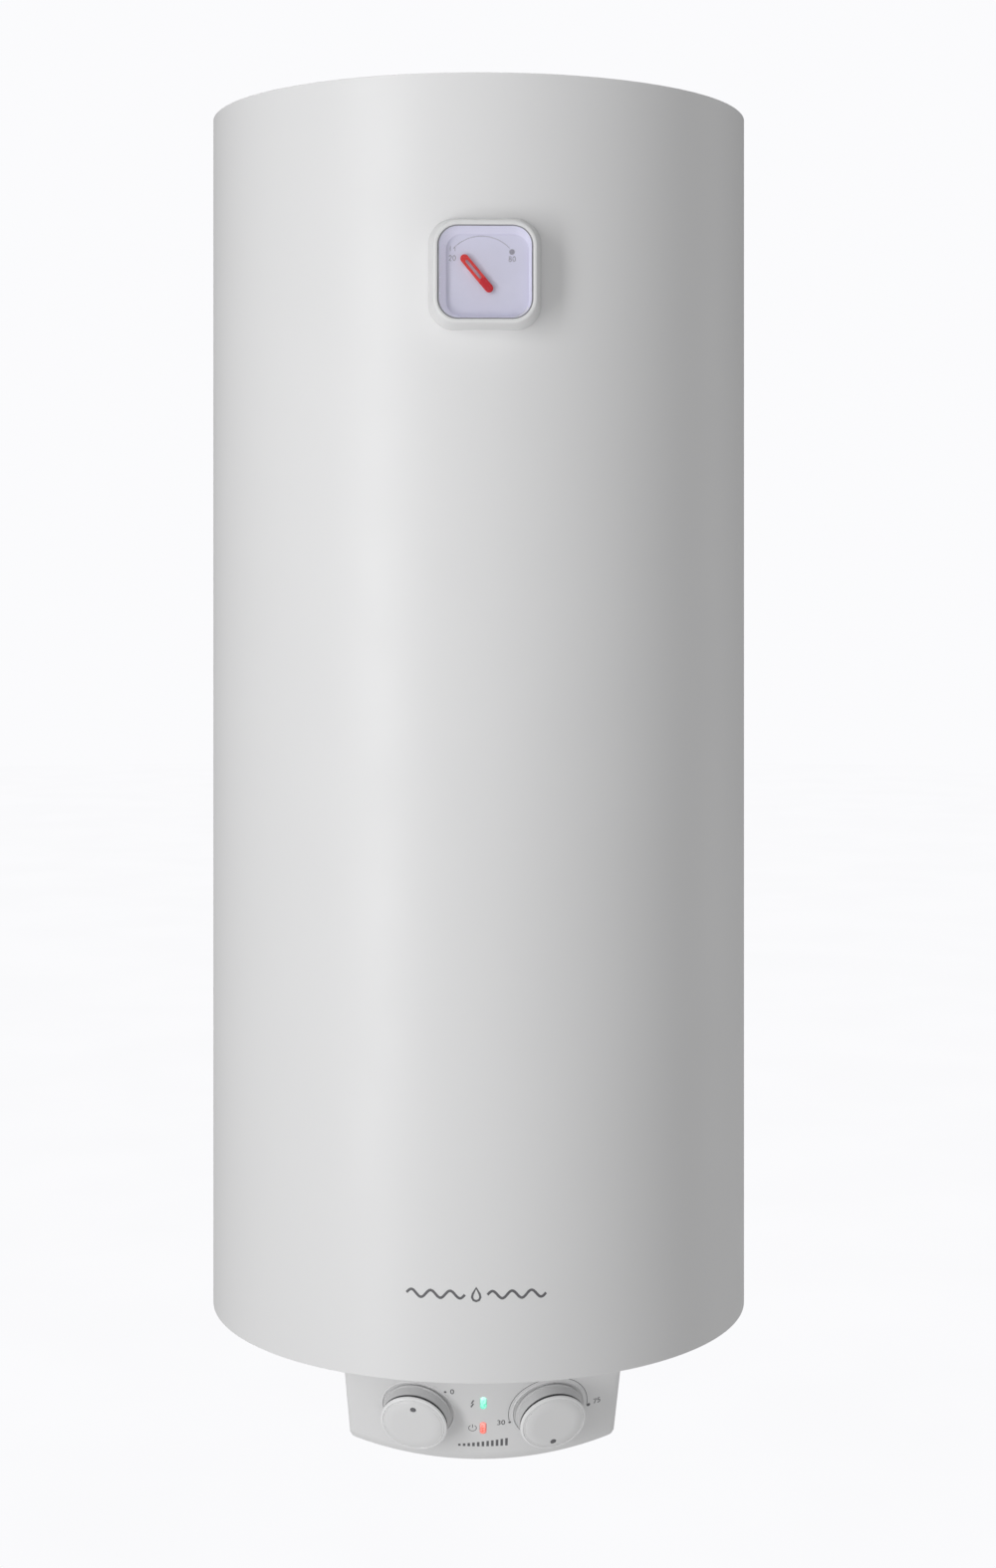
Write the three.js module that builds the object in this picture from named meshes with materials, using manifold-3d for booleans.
// Wall-hung electric storage water heater, slim vertical type with dry heating elements.
// Units are millimetres, +Z is up and the front faces -Y. The exported group has its origin in the
// middle of the wall bracket's back face. Inside the heater group the tank's axis is x = y = 0 and
// z = 0 is the bottom rim of the casing.

import * as THREE from 'three';
import { mergeVertices } from 'three/addons/utils/BufferGeometryUtils.js';
import Module from 'manifold-3d';

const wasm = await Module();
wasm.setup();

// ---------------------------------------------------------------- driving dimensions
const GAP = 0.3; // clearance between pieces that touch

const CASING_RADIUS = 170;
const CASING_HEIGHT = 753;
const CASING_WALL = 1;
const CAP_WALL = 1.6;
const CAP_SKIRT = 14; // depth that a cap reaches into the casing
const CAP_RADIUS = CASING_RADIUS - CASING_WALL - 0.6; // outside of both caps' skirts
const TOP_DOME = 12;
const BOTTOM_DROP = 4; // how far the bottom cap hangs below the rim
const BOTTOM_OPENING = 72;

const TANK_RADIUS = 148;
const TANK_WALL = 2;
const TANK_FOOT = 62; // height where the bottom head meets the cylinder
const TANK_SHOULDER = 691;
const HEAD_DEPTH = 38;
const NECK_RADIUS = 50; // inside
const NECK_WALL = 3;
const NECK_FLANGE_RADIUS = 69;
const NECK_FLANGE_Z = 8;
const NECK_FLANGE_THICK = 6;

const FLANGE_RADIUS = 68;
const FLANGE_THICK = 4;
const FLANGE_TOP = 4.9;
const FLANGE_BOTTOM = FLANGE_TOP - FLANGE_THICK;
const BOLT_CIRCLE = 62.5;
const FLANGE_BOLTS = 5;
const BOLT_RADIUS = 3.8; // of the flange bolts and the anode's stud
const BOLT_HOLE = 4.2;
const HEX_RADIUS = 7.2; // of the bolt heads, across the corners
const SHEATH_RADIUS = 19;
const SHEATH_WALL = 1.4;
const SHEATH_X = 27;
const SHEATH_TOP = 330;
const CORE_RADIUS = 16; // ceramic core of each element
const POCKET_Y = 31;
const POCKET_BORE = 7.4;
const POCKET_WALL = 1.2;
const POCKET_TOP = 260;
const ANODE_Y = -31;
const ANODE_RADIUS = 9.5;
const ANODE_TOP = 320;
const EARTH_X = 55;

const NIPPLE_RADIUS = 10.4; // G1/2 thread
const NIPPLE_BORE = 7.5;
const NIPPLE_X = 50;
const NIPPLE_Y = 102;
const NIPPLE_END = -28;
const NIPPLE_TOP = 48;
const RISER_TOP = 700; // the hot water is taken from just under the tank's top
const COLLAR_RADIUS = 17;
const COLLAR_DEPTH = 4.5;

const WALL_Y = 182;
const BRACKET_Z = 640;
const LOWER_BRACKET_Z = 110;
const WALL_BRACKET = { halfWidth: 118, height: 56, hookX: 92 };
const LOWER_BRACKET = { halfWidth: 66, height: 36, hookX: 0 }; // without hook slots
const PLATE_THICK = 3;
const FOOT_RADIUS = CASING_RADIUS + 0.4; // inner face of the brackets' feet
const FOOT_ANGLE = 23.5; // of the bracket feet's bolts, from straight back
const FOOT_INNER_ANGLE = 18.4; // each foot spans these two angles
const FOOT_OUTER_ANGLE = 28;
const WEB_X = 55.4; // web between a foot and the wall plate
const KEYHOLE_RADIUS = 9;
const SLOT_WIDTH = 9;
const SLOT_HEIGHT = 28;
const BOSS_RADIUS = 8;
const BRACKET_BOLT_RADIUS = 3.8;

const GAUGE_Z = 637;
const GAUGE_WIDTH = 65;
const GAUGE_FRONT = 183; // distance of the bezel's front from the tank's axis
const GAUGE_WINDOW = 54.6;
const DIAL_FACE = 176.1;
const PIVOT_DROP = 6.4; // pointer pivot below the gauge's centre
const PIVOT_HOLE = 1.6;
const CAN_RADIUS = 23.5;
const CAN_BACK = 156;
const POINTER_ANGLE = 39.6; // left of straight up

const PANEL_Y = -145; // front of the control panel at z = 0
const PANEL_TILT = 25.6; // the panel leans back towards its foot
const PANEL_RADIUS = 180;
const POD_TOP = -4.3;
const POD_BOTTOM = -65; // lowest point, at the foot of the panel
const POD_HALF_WIDTH = 83;
const POD_FOOT_HALF_WIDTH = 79.5;
const POD_BACK = 80;
const POD_BACK_CORNER = 28;
const POD_FOOT_Z = -57; // where the drafted sides reach the foot's width
const POD_FLOOR_Y = -114; // lowest point of the floor's slope
const POD_FLOOR_RADIUS = 398;
const POD_FLOOR_SLOPE = 3.8; // the floor rises to the back
const POD_WALL = 2.2;
const COLUMN_RADIUS = 6;
const SCREW_X = 60;
const SCREW_Y = 52;
const SCREW_RECESS = -12; // where the cover screws' heads seat

const KNOB_ARC = 12.45; // of each knob's axis round the panel
const KNOB_ALONG = -36; // down the panel from z = 0
const KNOB_RADIUS = 20;
const SHAFT_RADIUS = 3;
const LAMP_ALONG = [-26.4, -46];
const LAMP_WIDTH = 4;
const LAMP_HEIGHT = 9.6;
const BOARD_OUT = -6.2; // lamp board, from the panel's surface
const CHASSIS_OUT = -8.2; // front of the chassis, from the panel's surface
const CHASSIS_THICK = 1.5;
const CHASSIS_HALF_ANGLE = 21;
const CHASSIS_TOP = 12; // down the panel
const CHASSIS_FOOT = 56;
const CHASSIS_TAB = [0, -121.5, -7.1];
const CHASSIS_SCREW_Y = -117;
const SWITCH_FRONT = -10.7; // from the panel's surface
const SWITCH_BACK = -31;
const CUTOUT_FRONT = -11;
const CUTOUT_BACK = -27;
const BUTTON_OUT = -19; // reset button's axis
const BUTTON_RADIUS = 2.8;
const CAPILLARY_RADIUS = 1.1;
const CAPILLARY_SPREAD = 3.6; // of the two bulbs in the pocket, from its axis
const BULB_RADIUS = 3.2;
const BULB_TOP = 95;
const GLAND_Z = -30;
const GLAND_RADIUS = 7.2; // through the wall
const TERMINAL_BLOCK = [67, -66, -12.6];
const TERMINAL_ROWS = [-10, 0, 10];

const CASING_SIDES = 56;
const TANK_SIDES = 28;
const KNOB_SIDES = 24;
const PIPE_SIDES = 16;
const SCREW_SIDES = 8;

// ---------------------------------------------------------------- materials
const material = (color, roughness, metalness = 0) =>
  new THREE.MeshStandardMaterial({ color, roughness, metalness });
const paint = material(0xe9e9ea, 0.35);
const whitePlastic = material(0xe6e6e7, 0.4);
const knobPlastic = material(0xdddddf, 0.42);
const enamel = material(0x2c3b57, 0.25);
const foam = material(0xe2cf9a, 0.9);
const steel = material(0x9fa2a6, 0.4, 0.9);
const brass = material(0xb8945a, 0.35, 0.9);
const copper = material(0xb4714c, 0.35, 0.9);
const magnesium = material(0xb9bbb8, 0.6, 0.8);
const ceramic = material(0xd9d2c4, 0.7);
const rubber = material(0x26272a, 0.8);
const darkPlastic = material(0x2b2d31, 0.5);
const ivoryPlastic = material(0xd8d4c8, 0.5);
const bluePlastic = material(0x1f5fb4, 0.4);
const redPlastic = material(0xc0202c, 0.4);
const clearPlastic = material(0xeef0fa, 0.05);
const dialFace = material(0xcfcedf, 0.5);
const greenLens = material(0x7ff5e0, 0.2);
const redLens = material(0xf58a7c, 0.2);
const board = material(0x2f6b3c, 0.5);

// ---------------------------------------------------------------- shape tools
const radians = THREE.MathUtils.degToRad;

// A closed geometry as a solid for the boolean cuts and joins.
function solid(geometry) {
  const bare = geometry.index ? geometry.toNonIndexed() : geometry.clone();
  bare.deleteAttribute('normal');
  bare.deleteAttribute('uv');
  const merged = mergeVertices(bare, 1e-4);
  const vertProperties = merged.attributes.position.array;
  const triVerts = new Uint32Array(merged.index.array);
  return new wasm.Manifold(new wasm.Mesh({ numProp: 3, vertProperties, triVerts }));
}

function geometryOf(made) {
  const { vertProperties, triVerts } = made.getMesh();
  const geometry = new THREE.BufferGeometry();
  geometry.setAttribute('position', new THREE.BufferAttribute(vertProperties, 3));
  geometry.setIndex(new THREE.BufferAttribute(triVerts, 1));
  geometry.computeVertexNormals();
  return geometry;
}

function cut(geometry, ...tools) {
  return geometryOf(tools.reduce((left, tool) => left.subtract(solid(tool)), solid(geometry)));
}

function join(geometry, ...others) {
  return geometryOf(others.reduce((whole, other) => whole.add(solid(other)), solid(geometry)));
}

function common(geometry, ...others) {
  return geometryOf(others.reduce((shared, other) => shared.intersect(solid(other)), solid(geometry)));
}

// A solid of revolution about Z from [radius, height] points, which start and end on the axis or
// close on themselves.
function turned(profile, sides) {
  const points = profile.map(([radius, height]) => new THREE.Vector2(radius, height));
  if (THREE.ShapeUtils.area(points) < 0) points.reverse();
  if (points[0].x > 0 || points.at(-1).x > 0) points.push(points[0].clone());
  return new THREE.LatheGeometry(points, sides).rotateX(Math.PI / 2);
}

function cylinder(radius, low, high, sides = SCREW_SIDES) {
  return turned([[0, low], [radius, low], [radius, high], [0, high]], sides);
}

function tubeBetween(inner, outer, low, high, sides = PIPE_SIDES) {
  return turned([[inner, low], [outer, low], [outer, high], [inner, high]], sides);
}

function box(width, depth, height) {
  return new THREE.BoxGeometry(width, depth, height);
}

// A flat shape made thick along Z, from low to high.
function extruded(shape, low, high, curveSegments = 4) {
  const settings = { depth: high - low, bevelEnabled: false, curveSegments };
  return new THREE.ExtrudeGeometry(shape, settings).translate(0, 0, low);
}

function roundedRectangle(width, height, radius) {
  const x = width / 2 - radius;
  const y = height / 2 - radius;
  const shape = new THREE.Shape();
  shape.absarc(x, y, radius, 0, Math.PI / 2);
  shape.absarc(-x, y, radius, Math.PI / 2, Math.PI);
  shape.absarc(-x, -y, radius, Math.PI, 1.5 * Math.PI);
  shape.absarc(x, -y, radius, 1.5 * Math.PI, 2 * Math.PI);
  return shape;
}

function capsule(width, height) {
  return roundedRectangle(width, height, width / 2 - 0.01);
}

// A sheet that follows a circle about the origin, seen from above, between two radii.
function ringSector(inner, outer, from, to) {
  const shape = new THREE.Shape();
  shape.absarc(0, 0, outer, from, to);
  shape.absarc(0, 0, inner, to, from, true);
  return shape;
}

// Scales a geometry about the Z axis in step with height, from 1 at `full` to `scale` at `end`.
function tapered(geometry, full, end, scaleX, scaleY = scaleX) {
  const position = geometry.attributes.position;
  for (let i = 0; i < position.count; i++) {
    const share = (position.getZ(i) - full) / (end - full);
    position.setX(i, position.getX(i) * (1 + share * (scaleX - 1)));
    position.setY(i, position.getY(i) * (1 + share * (scaleY - 1)));
  }
  return geometry;
}

// A round wire or tube along a smooth curve through the points.
function wire(radius, steps, points) {
  const section = new THREE.Shape().absarc(0, 0, radius, 0, 2 * Math.PI);
  const extrudePath = new THREE.CatmullRomCurve3(points.map((point) => new THREE.Vector3(...point)));
  return new THREE.ExtrudeGeometry(section, { steps, bevelEnabled: false, curveSegments: 3, extrudePath });
}

// ---------------------------------------------------------------- frames
const heater = new THREE.Group();
heater.position.set(0, -WALL_Y, -BRACKET_Z);

const panel = new THREE.Group(); // x along the panel, y up it, z out of it
panel.position.set(0, PANEL_Y, 0);
panel.rotation.x = Math.PI / 2 + radians(PANEL_TILT);
heater.add(panel);

// A place on the curved panel: z points straight out of the surface there.
function station(arc, along) {
  const group = new THREE.Group();
  const angle = radians(arc);
  group.position.set(PANEL_RADIUS * Math.sin(angle), along, PANEL_RADIUS * (Math.cos(angle) - 1));
  group.rotation.y = angle;
  panel.add(group);
  return group;
}

const powerStation = station(-KNOB_ARC, KNOB_ALONG);
const temperatureStation = station(KNOB_ARC, KNOB_ALONG);
const lampStations = LAMP_ALONG.map((along) => station(0, along));
const middleStation = station(0, KNOB_ALONG);

const gauge = new THREE.Group(); // x to the right, y up, z towards the front
gauge.position.set(0, 0, GAUGE_Z);
gauge.rotation.x = Math.PI / 2;
heater.add(gauge);

const gaugePivot = new THREE.Group();
gaugePivot.position.set(0, -PIVOT_DROP, 0);
gaugePivot.rotation.z = radians(POINTER_ANGLE);
gauge.add(gaugePivot);

// A frame whose Z axis runs out from the tank's axis, at an angle from straight back.
function radialFrame(degrees, z) {
  const group = new THREE.Group();
  const turn = new THREE.Group();
  group.position.set(0, 0, z);
  group.rotation.z = -radians(degrees);
  turn.rotation.x = -Math.PI / 2;
  group.add(turn);
  heater.add(group);
  return turn;
}

const sides = { left: -1, right: 1 };
const bracketFrames = {};
for (const [side, sign] of Object.entries(sides)) {
  bracketFrames[`bracket_bolt_${side}`] = radialFrame(sign * FOOT_ANGLE, BRACKET_Z);
  bracketFrames[`lower_bolt_${side}`] = radialFrame(sign * FOOT_ANGLE, LOWER_BRACKET_Z);
}

// A tool made in another group's frame, moved into the heater's frame.
function toHeater(geometry, group) {
  group.updateWorldMatrix(true, false);
  return geometry.applyMatrix4(heater.matrixWorld.clone().invert().multiply(group.matrixWorld));
}

function add(name, geometry, finish, parent = heater) {
  const mesh = new THREE.Mesh(geometry, finish);
  mesh.name = name;
  parent.add(mesh);
  return mesh;
}

// ---------------------------------------------------------------- casing and caps
const bracketTools = (radius, low, high) =>
  Object.values(bracketFrames).map((frame) => toHeater(cylinder(radius, low, high), frame));
const nippleTools = (radius, low, high) =>
  [-NIPPLE_X, NIPPLE_X].map((x) => cylinder(radius, low, high, PIPE_SIDES).translate(x, NIPPLE_Y, 0));

function outerCasing() {
  const shell = tubeBetween(CASING_RADIUS - CASING_WALL, CASING_RADIUS, 0, CASING_HEIGHT, CASING_SIDES);
  const gaugeHole = toHeater(cylinder(CAN_RADIUS + 1, 150, 190, PIPE_SIDES), gauge);
  return cut(shell, gaugeHole, ...bracketTools(BRACKET_BOLT_RADIUS + 0.8, 160, 180));
}

function topCap() {
  const inside = CAP_RADIUS - CAP_WALL;
  const low = CASING_HEIGHT - CAP_SKIRT;
  const domeAt = (radius) => TOP_DOME * (1 - (radius / CAP_RADIUS) ** 2);
  const radii = [120, 65];
  const outside = radii.map((radius) => [radius, CASING_HEIGHT + domeAt(radius)]);
  const under = radii.map((radius) => [radius, CASING_HEIGHT + domeAt(radius) - CAP_WALL]).reverse();
  return turned([
    [inside, low], [CAP_RADIUS, low], [CAP_RADIUS, CASING_HEIGHT - 1.4], [CAP_RADIUS - 1.4, CASING_HEIGHT],
    ...outside, [0, CASING_HEIGHT + TOP_DOME],
    [0, CASING_HEIGHT + TOP_DOME - CAP_WALL], ...under, [inside, CASING_HEIGHT - 2],
  ], CASING_SIDES);
}

function bottomCap() {
  const inside = CAP_RADIUS - CAP_WALL;
  const plate = turned([
    [inside, CAP_SKIRT], [CAP_RADIUS, CAP_SKIRT], [CAP_RADIUS, 0.8], [CAP_RADIUS - 8, -1.6],
    [CAP_RADIUS - 20, -BOTTOM_DROP], [BOTTOM_OPENING, -BOTTOM_DROP],
    [BOTTOM_OPENING, CAP_WALL - BOTTOM_DROP], [CAP_RADIUS - 20, CAP_WALL - BOTTOM_DROP], [inside, 1.8],
  ], CASING_SIDES);
  const screwHoles = [-SCREW_X, SCREW_X].map((x) => cylinder(2.4, -10, 10).translate(x, SCREW_Y, 0));
  const chassisHole = cylinder(2.1, -10, 10).translate(0, CHASSIS_SCREW_Y, 0);
  return cut(plate, ...nippleTools(NIPPLE_RADIUS + 2, -10, 10), ...screwHoles, chassisHole);
}

// ---------------------------------------------------------------- tank and insulation
// Points along an elliptical tank head, from the axis or the neck out to the cylinder.
function head(radius, depth, seatZ, direction, fromRadius, count = 3) {
  const start = Math.asin(fromRadius / radius);
  return Array.from({ length: count + 1 }, (_, i) => {
    const angle = start + (Math.PI / 2 - start) * (i / count);
    return [radius * Math.sin(angle), seatZ + direction * depth * Math.cos(angle)];
  });
}

function innerTank() {
  const outer = NECK_RADIUS + NECK_WALL;
  const inner = TANK_RADIUS - TANK_WALL;
  const depth = HEAD_DEPTH - TANK_WALL;
  const shell = turned([
    ...head(TANK_RADIUS, HEAD_DEPTH, TANK_SHOULDER, 1, 0),
    ...head(TANK_RADIUS, HEAD_DEPTH, TANK_FOOT, -1, outer).reverse(),
    [outer, NECK_FLANGE_Z + NECK_FLANGE_THICK], [NECK_FLANGE_RADIUS, NECK_FLANGE_Z + NECK_FLANGE_THICK],
    [NECK_FLANGE_RADIUS, NECK_FLANGE_Z], [NECK_RADIUS, NECK_FLANGE_Z],
    ...head(inner, depth, TANK_FOOT, -1, NECK_RADIUS),
    ...head(inner, depth, TANK_SHOULDER, 1, 0).reverse(),
  ], TANK_SIDES);
  const bossed = join(shell, ...bracketTools(BOSS_RADIUS, TANK_RADIUS - 1.5, CASING_RADIUS - 2.4));
  const threads = bracketTools(BRACKET_BOLT_RADIUS + GAP, TANK_RADIUS + 4, CASING_RADIUS);
  const nippleHoles = nippleTools(NIPPLE_RADIUS + GAP, 20, 60);
  return cut(bossed, ...threads, ...nippleHoles, ...boltTools(BOLT_HOLE, 0, 20));
}

function foamInsulation() {
  const inner = TANK_RADIUS + 0.4;
  const depth = HEAD_DEPTH + 0.4;
  const waist = CAP_RADIUS - CAP_WALL - 0.4; // inside the caps' skirts
  const low = CAP_WALL - BOTTOM_DROP + 0.4;
  const neck = NECK_RADIUS + NECK_WALL;
  const fill = turned([
    ...head(inner, depth, TANK_SHOULDER, 1, 0),
    ...head(inner, depth, TANK_FOOT, -1, neck).reverse(),
    [neck, low], [waist - 22, low], [waist, CAP_WALL + 1], [waist, CAP_SKIRT + 0.5],
    [CAP_RADIUS, CAP_SKIRT + 0.5], [CAP_RADIUS, CASING_HEIGHT - CAP_SKIRT - 0.5],
    [waist, CASING_HEIGHT - CAP_SKIRT - 0.5], [waist, CASING_HEIGHT - 2.6], [0, CASING_HEIGHT - 2.6],
  ], TANK_SIDES);
  const canPocket = toHeater(cylinder(CAN_RADIUS + 0.6, CAN_BACK - 0.5, 180, PIPE_SIDES), gauge);
  const stemHole = toHeater(cylinder(3.6, 140, 160), gauge);
  const bosses = bracketTools(BOSS_RADIUS + 0.5, 140, 180);
  const flangeWell = cylinder(BOTTOM_OPENING + 0.5, -10, 45, TANK_SIDES);
  const screwHoles = [[-SCREW_X, SCREW_Y], [SCREW_X, SCREW_Y], [0, CHASSIS_SCREW_Y]]
    .map(([x, y]) => cylinder(2.6, -10, 12).translate(x, y, 0));
  const bores = [...nippleTools(NIPPLE_RADIUS + 0.5, -10, 60), ...screwHoles, flangeWell];
  return cut(fill, canPocket, stemHole, ...bosses, ...bores);
}

// ---------------------------------------------------------------- water connections
function nipple() {
  return turned([
    [NIPPLE_BORE, NIPPLE_END], [NIPPLE_RADIUS - 1, NIPPLE_END], [NIPPLE_RADIUS, NIPPLE_END + 1],
    [NIPPLE_RADIUS, NIPPLE_TOP], [NIPPLE_BORE, NIPPLE_TOP],
  ], PIPE_SIDES);
}

function collar() {
  const top = -BOTTOM_DROP - GAP;
  return turned([
    [NIPPLE_RADIUS + GAP, top], [NIPPLE_RADIUS + GAP, top - COLLAR_DEPTH],
    [COLLAR_RADIUS - 2, top - COLLAR_DEPTH], [COLLAR_RADIUS, top - 3], [COLLAR_RADIUS, top],
  ], PIPE_SIDES);
}

// The pipe that takes the hot water from the top of the tank.
function hotRiserTube() {
  return tubeBetween(NIPPLE_BORE, NIPPLE_RADIUS - 1.4, NIPPLE_TOP + GAP, RISER_TOP);
}

// A cap on the cold inlet that turns the jet sideways through a cross of slots.
function inletDiffuser() {
  const low = NIPPLE_TOP + GAP;
  const cup = turned([
    [NIPPLE_BORE, low], [NIPPLE_RADIUS, low], [NIPPLE_RADIUS, low + 20], [0, low + 22], [0, low + 20],
    [NIPPLE_BORE, low + 18],
  ], PIPE_SIDES);
  const slots = [0, Math.PI / 2].map((turn) => box(30, 5, 8).rotateZ(turn).translate(0, 0, low + 11));
  return cut(cup, ...slots);
}

// ---------------------------------------------------------------- flange and heating unit
function boltPlaces() {
  return Array.from({ length: FLANGE_BOLTS }, (_, i) => {
    const angle = -Math.PI / 2 + (i * 2 * Math.PI) / FLANGE_BOLTS;
    return [BOLT_CIRCLE * Math.cos(angle), BOLT_CIRCLE * Math.sin(angle)];
  });
}

function boltTools(radius, low, high) {
  return boltPlaces().map(([x, y]) => cylinder(radius, low, high).translate(x, y, 0));
}

function flangePlate() {
  const disc = cylinder(FLANGE_RADIUS, FLANGE_BOTTOM, FLANGE_TOP, TANK_SIDES);
  const openings = [-SHEATH_X, SHEATH_X].map((x) =>
    cylinder(SHEATH_RADIUS - SHEATH_WALL, 0, 6, PIPE_SIDES).translate(x, 0, 0));
  const pocket = cylinder(POCKET_BORE, 0, 6).translate(0, POCKET_Y, 0);
  const anode = cylinder(BOLT_HOLE, 0, 6).translate(0, ANODE_Y, 0);
  const earth = cylinder(2.3, 0, 6).translate(EARTH_X, 0, 0);
  return cut(disc, ...openings, pocket, anode, earth, ...boltTools(BOLT_HOLE, 0, 6));
}

function flangeGasket() {
  return tubeBetween(NECK_RADIUS + 0.5, 58, FLANGE_TOP + GAP, NECK_FLANGE_Z - GAP, TANK_SIDES);
}

function flangeBolt() {
  const hexHead = cylinder(HEX_RADIUS, FLANGE_BOTTOM - GAP - 5.3, FLANGE_BOTTOM - GAP, 6);
  return join(hexHead, cylinder(BOLT_RADIUS, FLANGE_BOTTOM - 1, NECK_FLANGE_Z + 7.5));
}

// An enamelled steel flask, closed at the top, that keeps the element dry.
function heaterSheath() {
  const bore = SHEATH_RADIUS - SHEATH_WALL;
  return turned([
    [bore, FLANGE_TOP + GAP], [SHEATH_RADIUS, FLANGE_TOP + GAP], [SHEATH_RADIUS, SHEATH_TOP - 12],
    [12, SHEATH_TOP - 2], [0, SHEATH_TOP], [0, SHEATH_TOP - 2], [11, SHEATH_TOP - 4],
    [bore, SHEATH_TOP - 13],
  ], PIPE_SIDES);
}

// A grooved ceramic core with its terminal head below the flange.
function heatingElement() {
  const grooves = [];
  for (let z = 60; z < SHEATH_TOP - 40; z += 90) {
    grooves.push([CORE_RADIUS, z], [CORE_RADIUS - 2, z + 2]);
    grooves.push([CORE_RADIUS - 2, z + 6], [CORE_RADIUS, z + 8]);
  }
  const top = FLANGE_BOTTOM - GAP;
  const body = turned([
    [0, top - 12], [CORE_RADIUS, top - 12], [SHEATH_RADIUS, top - 9], [SHEATH_RADIUS, top],
    [CORE_RADIUS, top], ...grooves, [CORE_RADIUS, SHEATH_TOP - 26], [0, SHEATH_TOP - 22],
  ], PIPE_SIDES);
  const pins = [-7, 7].map((y) => box(6.3, 0.8, 12).translate(0, y, top - 17));
  return join(body, ...pins);
}

function sensorPocket() {
  const outer = POCKET_BORE + POCKET_WALL;
  return turned([
    [POCKET_BORE, FLANGE_TOP + GAP], [outer, FLANGE_TOP + GAP], [outer, POCKET_TOP - 4],
    [0, POCKET_TOP], [0, POCKET_TOP - 1.5], [POCKET_BORE, POCKET_TOP - 5],
  ], SCREW_SIDES);
}

function anodeRod() {
  return turned([
    [0, -8], [BOLT_RADIUS, -8], [BOLT_RADIUS, 22], [ANODE_RADIUS, 22], [ANODE_RADIUS, ANODE_TOP - 2],
    [ANODE_RADIUS - 1.5, ANODE_TOP], [0, ANODE_TOP],
  ], PIPE_SIDES);
}

function anodeNut() {
  return cut(cylinder(7.5, FLANGE_BOTTOM - GAP - 6.5, FLANGE_BOTTOM - GAP, 6), cylinder(BOLT_HOLE, -10, 5));
}

function earthScrew() {
  const top = FLANGE_BOTTOM - GAP;
  return turned([
    [0, top - 2.8], [3, top - 2.8], [3.8, top - 1.2], [3.8, top], [1.9, top], [1.9, 4.6], [0, 4.6],
  ], SCREW_SIDES);
}

// ---------------------------------------------------------------- control pod
// The pod's outline from above: straight sides, large corners at the back.
function podOutline(inset) {
  const x = POD_HALF_WIDTH - inset;
  const back = POD_BACK - inset;
  const corner = POD_BACK_CORNER - inset;
  const shape = new THREE.Shape();
  shape.moveTo(-x, -160);
  shape.lineTo(x, -160);
  shape.absarc(x - corner, back - corner, corner, 0, Math.PI / 2);
  shape.absarc(-x + corner, back - corner, corner, Math.PI / 2, Math.PI);
  return shape;
}

// The pod as a full block, or its inside when inset by the wall: a drafted outline, the tilted
// round of the panel and the bowed, rising floor.
function podBlock(inset, top) {
  const draft = POD_FOOT_HALF_WIDTH / POD_HALF_WIDTH;
  const outline = tapered(extruded(podOutline(inset), -90, top), 0, POD_FOOT_Z, draft, 1);
  const round = new THREE.CylinderGeometry(PANEL_RADIUS - inset, PANEL_RADIUS - inset, 400, 96);
  const panelRound = toHeater(round.translate(0, 0, -PANEL_RADIUS), panel);
  const floorRadius = POD_FLOOR_RADIUS - inset;
  const floorRound = new THREE.CylinderGeometry(floorRadius, floorRadius, 600, 144)
    .translate(0, 0, POD_FLOOR_RADIUS)
    .rotateX(radians(POD_FLOOR_SLOPE))
    .translate(0, POD_FLOOR_Y, POD_BOTTOM);
  return common(outline, panelRound, floorRound);
}

function controlCover() {
  const block = podBlock(0, POD_TOP);
  const columns = [-SCREW_X, SCREW_X].map((x) =>
    common(block, cylinder(COLUMN_RADIUS, -90, POD_TOP - 1).translate(x, SCREW_Y, 0)));
  const shell = join(cut(block, podBlock(POD_WALL, 10)), ...columns);
  const screwHoles = [-SCREW_X, SCREW_X].flatMap((x) =>
    [cylinder(4.4, -90, SCREW_RECESS), cylinder(2.4, -90, 0)]
      .map((tool) => tool.translate(x, SCREW_Y, 0)));
  const shaftHoles = [powerStation, temperatureStation].map((place) =>
    toHeater(cylinder(SHAFT_RADIUS + 1.5, -10, 10), place));
  const lampHoles = lampStations.map((place) =>
    toHeater(extruded(capsule(LAMP_WIDTH + 0.8, LAMP_HEIGHT + 0.8), -10, 10, 4), place));
  const glandHole = cylinder(GLAND_RADIUS + 0.4, 60, 100, PIPE_SIDES)
    .rotateX(-Math.PI / 2)
    .translate(0, 0, GLAND_Z);
  return cut(shell, ...screwHoles, ...shaftHoles, ...lampHoles, glandHole);
}

function coverScrew() {
  const seat = SCREW_RECESS - GAP;
  return turned([
    [0, seat - 3.3], [2, seat - 3.3], [3.9, seat - 1.7], [3.9, seat], [2, seat], [2, 6], [0, 8],
  ], SCREW_SIDES);
}

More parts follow.
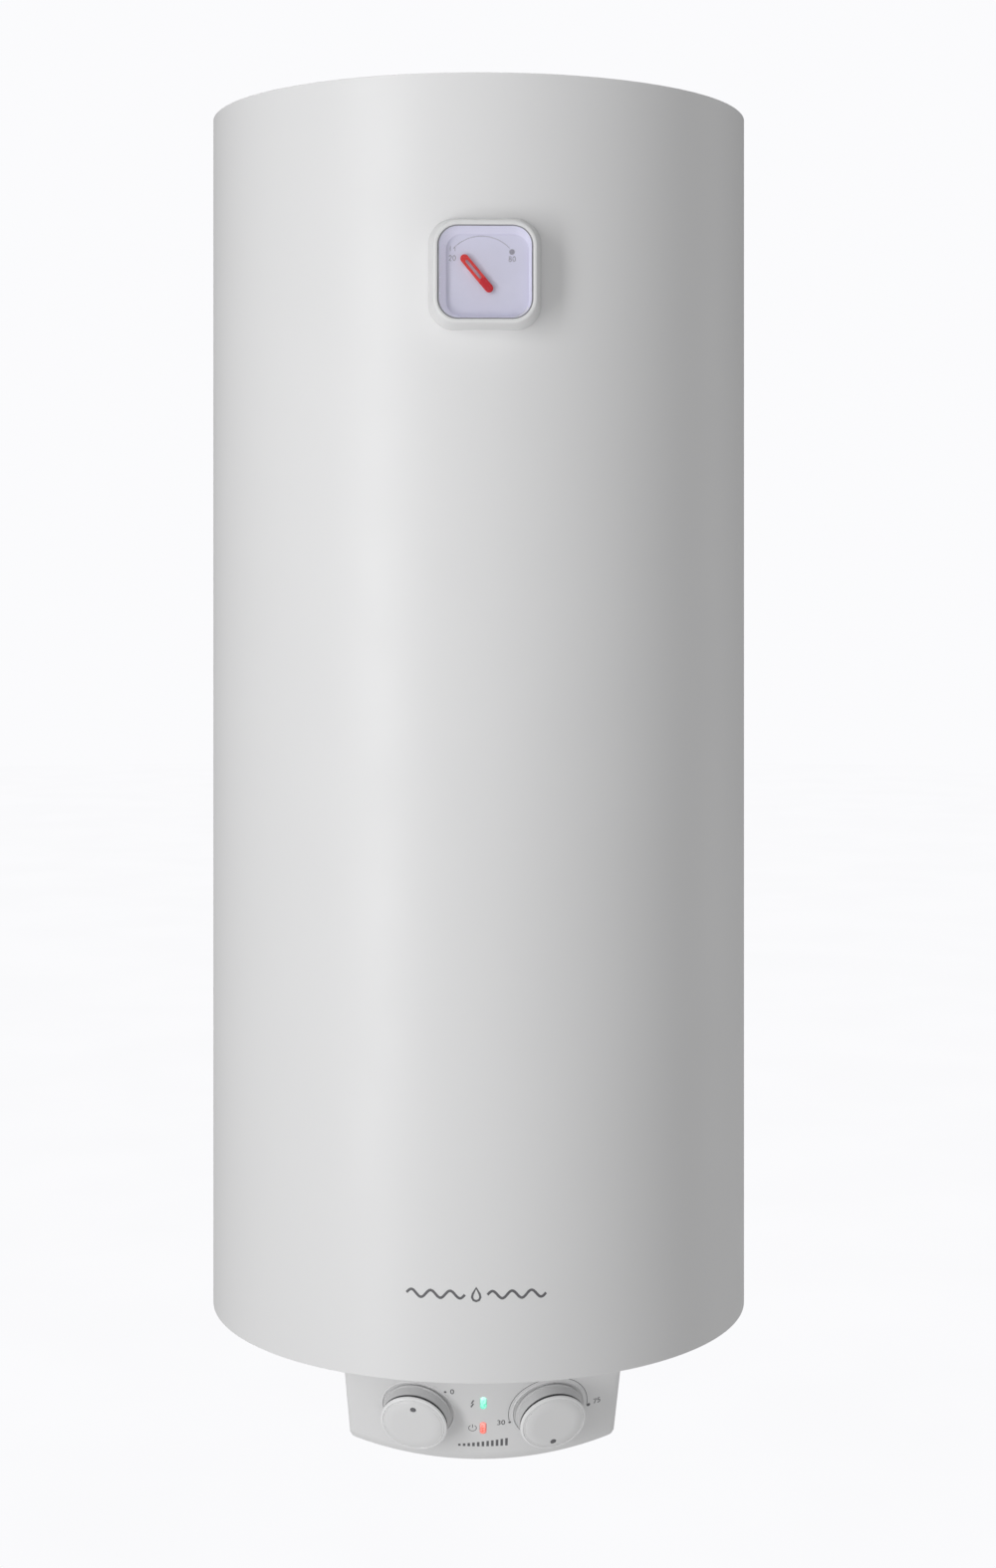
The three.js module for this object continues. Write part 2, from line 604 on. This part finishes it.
// A curved steel sheet behind the panel that carries the switches, with a tab under the bottom cap.
function controlChassis() {
  const half = radians(CHASSIS_HALF_ANGLE);
  const up = Math.PI / 2;
  const outer = PANEL_RADIUS + CHASSIS_OUT;
  const sector = ringSector(outer - CHASSIS_THICK, outer, up - half, up + half);
  const sheet = extruded(sector, CHASSIS_TOP, CHASSIS_FOOT, 12)
    .rotateX(Math.PI / 2)
    .translate(0, 0, -PANEL_RADIUS);
  const tab = box(60, 24, CHASSIS_THICK).translate(...CHASSIS_TAB);
  const shaftHoles = [powerStation, temperatureStation].map((place) =>
    toHeater(cylinder(SHAFT_RADIUS + 1.5, -15, 0), place));
  const screwHole = cylinder(2.1, -10, -5).translate(0, CHASSIS_SCREW_Y, 0);
  const aboveTab = box(200, 100, 20).translate(0, PANEL_Y, CHASSIS_TAB[2] + CHASSIS_THICK / 2 + 10);
  return cut(join(toHeater(sheet, panel), tab), ...shaftHoles, screwHole, aboveTab);
}

function chassisScrew() {
  return turned([
    [0, -10.8], [3.4, -10.8], [3.8, -8.2], [1.7, -8.2], [1.7, 4], [0, 5],
  ], SCREW_SIDES);
}

// A thin tube from a switch, sagging under the flange and up to its bulb in the sensor pocket.
function capillary(start, side, sag) {
  const x = side * CAPILLARY_SPREAD;
  const run = wire(CAPILLARY_RADIUS, 22, [
    start, [start[0] * 0.6 + x * 0.4, start[1] + 18, sag], [x, -40, sag - 4], [x, 8, sag - 2],
    [x, POCKET_Y - 5, sag + 8], [x, POCKET_Y, -8], [x, POCKET_Y, 6],
  ]);
  return join(run, cylinder(BULB_RADIUS, 5, BULB_TOP).translate(x, POCKET_Y, 0));
}

// The strain relief that the cord passes through, with its nut inside the pod's wall.
function cableGland() {
  const bore = 4.6;
  const nutFace = POD_BACK - 2.6;
  return turned([
    [bore, 66], [GLAND_RADIUS, 66], [GLAND_RADIUS, nutFace - 5], [10, nutFace - 5], [10, nutFace],
    [GLAND_RADIUS, nutFace], [GLAND_RADIUS, POD_BACK + GAP], [11, POD_BACK + GAP], [11, POD_BACK + 4],
    [8.6, POD_BACK + 5], [7, POD_BACK + 14], [bore, POD_BACK + 14],
  ], PIPE_SIDES).rotateX(-Math.PI / 2).translate(0, 0, GLAND_Z);
}

// The supply terminals under the bottom cap: screws from below, wires from the side.
function terminalBlock() {
  const screwWells = TERMINAL_ROWS.map((y) => cylinder(2.6, -9, -2).translate(0, y, 0));
  const wirePorts = TERMINAL_ROWS.map((y) => box(9, 4.5, 4.5).translate(-9, y, 2));
  return cut(box(22, 34, 16), ...screwWells, ...wirePorts).translate(...TERMINAL_BLOCK);
}

// ---------------------------------------------------------------- switches, knobs and lamps
// A switch housing behind the chassis, with its row of blade terminals.
function switchBody(blades) {
  const housing = extruded(roundedRectangle(30, 24, 2), SWITCH_BACK, SWITCH_FRONT, 2);
  const spread = 24 / blades;
  const terminals = Array.from({ length: blades }, (_, i) =>
    box(0.8, 6.3, 9).translate((i - (blades - 1) / 2) * spread, -4, SWITCH_BACK - 3));
  return join(housing, ...terminals);
}

// A shaft with a flat, from the switch to the inside of the knob.
function shaft() {
  const flat = box(10, 4, 12).translate(0, SHAFT_RADIUS + 0.8, 4.8);
  return cut(cylinder(SHAFT_RADIUS, SWITCH_FRONT, 6.8), flat);
}

// The knob's skirt with its hub, which is open towards the panel.
function knobSkirt() {
  const bore = SHAFT_RADIUS + GAP;
  return turned([
    [0, 7.2], [bore, 7.2], [bore, 0.9], [6, 0.9], [6, 6.4], [18, 6.4], [18.5, 0.9],
    [KNOB_RADIUS + 0.5, 0.9], [KNOB_RADIUS - 0.4, 8.6], [0, 8.6],
  ], KNOB_SIDES);
}

// The knob's front disc, which stands off the skirt by a fine groove.
function knobCap() {
  return turned([
    [0, 8.9], [15, 8.9], [15, 9.4], [KNOB_RADIUS - 0.6, 9.4], [KNOB_RADIUS, 9.9], [KNOB_RADIUS, 10.4],
    [16.3, 12], [0, 12],
  ], KNOB_SIDES);
}

function addKnob(name, place) {
  add(`${name}_knob`, knobSkirt(), knobPlastic, place);
  add(`${name}_knob_cap`, knobCap(), knobPlastic, place);
}

function lampLens() {
  return extruded(capsule(LAMP_WIDTH, LAMP_HEIGHT), -4.5, 0.5, 4);
}

function lampBoard() {
  const [high, low] = LAMP_ALONG;
  const middle = (high + low) / 2;
  const leds = [high, low].map((along) => box(2.4, 3, 0.8).translate(0, along - middle, BOARD_OUT + 1));
  return join(box(14, 34, 1.4).translate(0, 0, BOARD_OUT), ...leds);
}

// The manual-reset safety cut-out, with a guide hole for its button underneath.
function cutoutBody() {
  const housing = extruded(roundedRectangle(24, 22, 2), CUTOUT_BACK, CUTOUT_FRONT, 2);
  const guide = cylinder(BUTTON_RADIUS + 0.4, -12, -2).rotateX(-Math.PI / 2).translate(0, 0, BUTTON_OUT);
  return cut(housing, guide);
}

function resetButton() {
  return turned([
    [0, -15], [BUTTON_RADIUS - 0.6, -15], [BUTTON_RADIUS, -14.4], [BUTTON_RADIUS, -6], [0, -6],
  ], SCREW_SIDES).rotateX(-Math.PI / 2).translate(0, 0, BUTTON_OUT);
}

// ---------------------------------------------------------------- thermometer
function gaugeBezel() {
  const front = 59 / GAUGE_WIDTH;
  const outside = tapered(extruded(roundedRectangle(GAUGE_WIDTH, GAUGE_WIDTH - 1, 15), 160, GAUGE_FRONT),
    168, GAUGE_FRONT, front);
  const casing = cylinder(CASING_RADIUS + 0.4, -60, 60, CASING_SIDES).rotateX(-Math.PI / 2);
  const windowDepth = GAUGE_FRONT - DIAL_FACE - GAP;
  const window = tapered(extruded(roundedRectangle(GAUGE_WINDOW, GAUGE_WINDOW, 11),
    DIAL_FACE + GAP, GAUGE_FRONT + 1), GAUGE_FRONT, GAUGE_FRONT - windowDepth, 50.4 / GAUGE_WINDOW);
  const rear = extruded(roundedRectangle(51.6, 51.6, 10), 150, DIAL_FACE + GAP + 0.1);
  return cut(outside, casing, window, rear);
}

function gaugeLens() {
  return extruded(roundedRectangle(52.6, 52.6, 10), GAUGE_FRONT - 1.6, GAUGE_FRONT + 0.6);
}

function gaugeDial() {
  const plate = extruded(roundedRectangle(51, 51, 9.7), DIAL_FACE - 1.1, DIAL_FACE);
  return cut(plate, cylinder(PIVOT_HOLE, 170, 180).translate(0, -PIVOT_DROP, 0));
}

// The sealed movement behind the dial, with a stem that feels the tank wall.
function gaugeMovement() {
  const can = turned([
    [0, TANK_RADIUS + 0.6], [3, TANK_RADIUS + 0.6], [3, CAN_BACK], [CAN_RADIUS, CAN_BACK],
    [CAN_RADIUS, DIAL_FACE - 1.4], [0, DIAL_FACE - 1.4],
  ], PIPE_SIDES);
  return cut(can, cylinder(PIVOT_HOLE, 159, 180).translate(0, -PIVOT_DROP, 0));
}

function gaugeSpindle() {
  return cylinder(1, 160, DIAL_FACE + 3.5, 8);
}

function gaugePointer() {
  const blade = capsule(4.8, 26.8);
  const slot = new THREE.Path(capsule(1.7, 13).getPoints(4).map(({ x, y }) => new THREE.Vector2(x, y + 3)));
  blade.holes.push(slot);
  const needle = extruded(blade, DIAL_FACE + 1.9, DIAL_FACE + 2.9).translate(0, 7.6, 0);
  return cut(needle, cylinder(1.3, 170, 190));
}

// ---------------------------------------------------------------- wall brackets
// A flat wall plate with two welded feet that follow the casing, each on a web.
function bracket({ halfWidth, height, hookX }) {
  const plate = box(2 * halfWidth, PLATE_THICK, height).translate(0, WALL_Y - PLATE_THICK / 2, 0);
  const footHeight = height - 8;
  const webBack = WALL_Y - PLATE_THICK + 0.5;
  const webFront = Math.cos(radians(FOOT_INNER_ANGLE)) * FOOT_RADIUS + 1;
  const feet = [-1, 1].flatMap((sign) => {
    const angles = [FOOT_INNER_ANGLE, FOOT_OUTER_ANGLE].map((angle) => radians(90 - sign * angle)).sort();
    const sheet = ringSector(FOOT_RADIUS, FOOT_RADIUS + PLATE_THICK, ...angles);
    const web = box(PLATE_THICK, webBack - webFront, footHeight)
      .translate(sign * WEB_X, (webBack + webFront) / 2, 0);
    return [extruded(sheet, -footHeight / 2, footHeight / 2), web];
  });
  const boltHoles = [-1, 1].map((sign) => cylinder(BRACKET_BOLT_RADIUS + 0.8, 160, 178)
    .rotateX(-Math.PI / 2)
    .rotateZ(-sign * radians(FOOT_ANGLE)));
  const slots = hookX ? [-hookX, hookX].flatMap(keyhole) : [];
  return cut(join(plate, ...feet), ...boltHoles, ...slots);
}

// A hook slot through the wall plate: a round opening below a narrow slot.
function keyhole(x) {
  const opening = cylinder(KEYHOLE_RADIUS, 170, 190, PIPE_SIDES).rotateX(-Math.PI / 2).translate(x, 0, -9);
  const slot = extruded(capsule(SLOT_WIDTH, SLOT_HEIGHT), 170, 190, 5).rotateX(-Math.PI / 2);
  return [opening, slot.translate(x, 0, 3)];
}

function bracketBolt() {
  const seat = FOOT_RADIUS + PLATE_THICK + GAP;
  const shank = cylinder(BRACKET_BOLT_RADIUS, TANK_RADIUS + 5, seat + 1);
  return join(cylinder(HEX_RADIUS, seat, seat + 5, 6), shank);
}

// ---------------------------------------------------------------- assembly
add('outer_casing', outerCasing(), paint);
add('top_cap', topCap(), whitePlastic);
add('bottom_cap', bottomCap(), whitePlastic);
add('inner_tank', innerTank(), enamel);
add('foam_insulation', foamInsulation(), foam);

const connections = { hot: [-NIPPLE_X, redPlastic], cold: [NIPPLE_X, bluePlastic] };
for (const [name, [x, ring]] of Object.entries(connections)) {
  add(`${name}_nipple`, nipple(), steel).position.set(x, NIPPLE_Y, 0);
  add(`${name}_collar`, collar(), ring).position.set(x, NIPPLE_Y, 0);
}
add('hot_riser_tube', hotRiserTube(), steel).position.set(-NIPPLE_X, NIPPLE_Y, 0);
add('inlet_diffuser', inletDiffuser(), ivoryPlastic).position.set(NIPPLE_X, NIPPLE_Y, 0);

add('flange_plate', flangePlate(), steel);
add('flange_gasket', flangeGasket(), rubber);
boltPlaces().forEach(([x, y], i) => {
  add(`flange_bolt_${i + 1}`, flangeBolt(), steel).position.set(x, y, 0);
});
for (const [side, sign] of Object.entries(sides)) {
  add(`heater_sheath_${side}`, heaterSheath(), enamel).position.x = sign * SHEATH_X;
  add(`heating_element_${side}`, heatingElement(), ceramic).position.x = sign * SHEATH_X;
}
add('sensor_pocket', sensorPocket(), copper).position.y = POCKET_Y;
add('anode_rod', anodeRod(), magnesium).position.y = ANODE_Y;
add('anode_nut', anodeNut(), steel).position.y = ANODE_Y;
add('earth_screw', earthScrew(), brass).position.x = EARTH_X;

add('control_cover', controlCover(), whitePlastic);
add('control_chassis', controlChassis(), steel);
add('chassis_screw', chassisScrew(), steel).position.y = CHASSIS_SCREW_Y;
add('cover_screw_left', coverScrew(), steel).position.set(-SCREW_X, SCREW_Y, 0);
add('cover_screw_right', coverScrew(), steel).position.set(SCREW_X, SCREW_Y, 0);
add('cable_gland', cableGland(), darkPlastic);
add('terminal_block', terminalBlock(), ivoryPlastic);

add('power_switch_body', switchBody(4), darkPlastic, powerStation);
add('power_shaft', shaft(), brass, powerStation);
addKnob('power', powerStation);
add('thermostat_body', switchBody(2), ivoryPlastic, temperatureStation);
add('thermostat_shaft', shaft(), brass, temperatureStation);
addKnob('temperature', temperatureStation);
add('thermostat_capillary', capillary([31, -95.6, -16.4], 1, -24), copper);
add('cutout_capillary', capillary([-3, -104, -20.3], -1, -30), copper);
add('cutout_body', cutoutBody(), darkPlastic, middleStation);
add('cutout_reset_button', resetButton(), redPlastic, middleStation);
add('lamp_board', lampBoard(), board, middleStation);
add('green_lamp', lampLens(), greenLens, lampStations[0]);
add('red_lamp', lampLens(), redLens, lampStations[1]);

add('gauge_bezel', gaugeBezel(), whitePlastic, gauge);
add('gauge_lens', gaugeLens(), clearPlastic, gauge);
add('gauge_dial', gaugeDial(), dialFace, gauge);
add('gauge_movement', gaugeMovement(), brass, gauge);
add('gauge_spindle', gaugeSpindle(), steel, gaugePivot);
add('gauge_pointer', gaugePointer(), redPlastic, gaugePivot);

add('wall_bracket', bracket(WALL_BRACKET), steel).position.z = BRACKET_Z;
add('lower_bracket', bracket(LOWER_BRACKET), steel).position.z = LOWER_BRACKET_Z;
for (const [name, frame] of Object.entries(bracketFrames)) add(name, bracketBolt(), steel, frame);

export default heater;
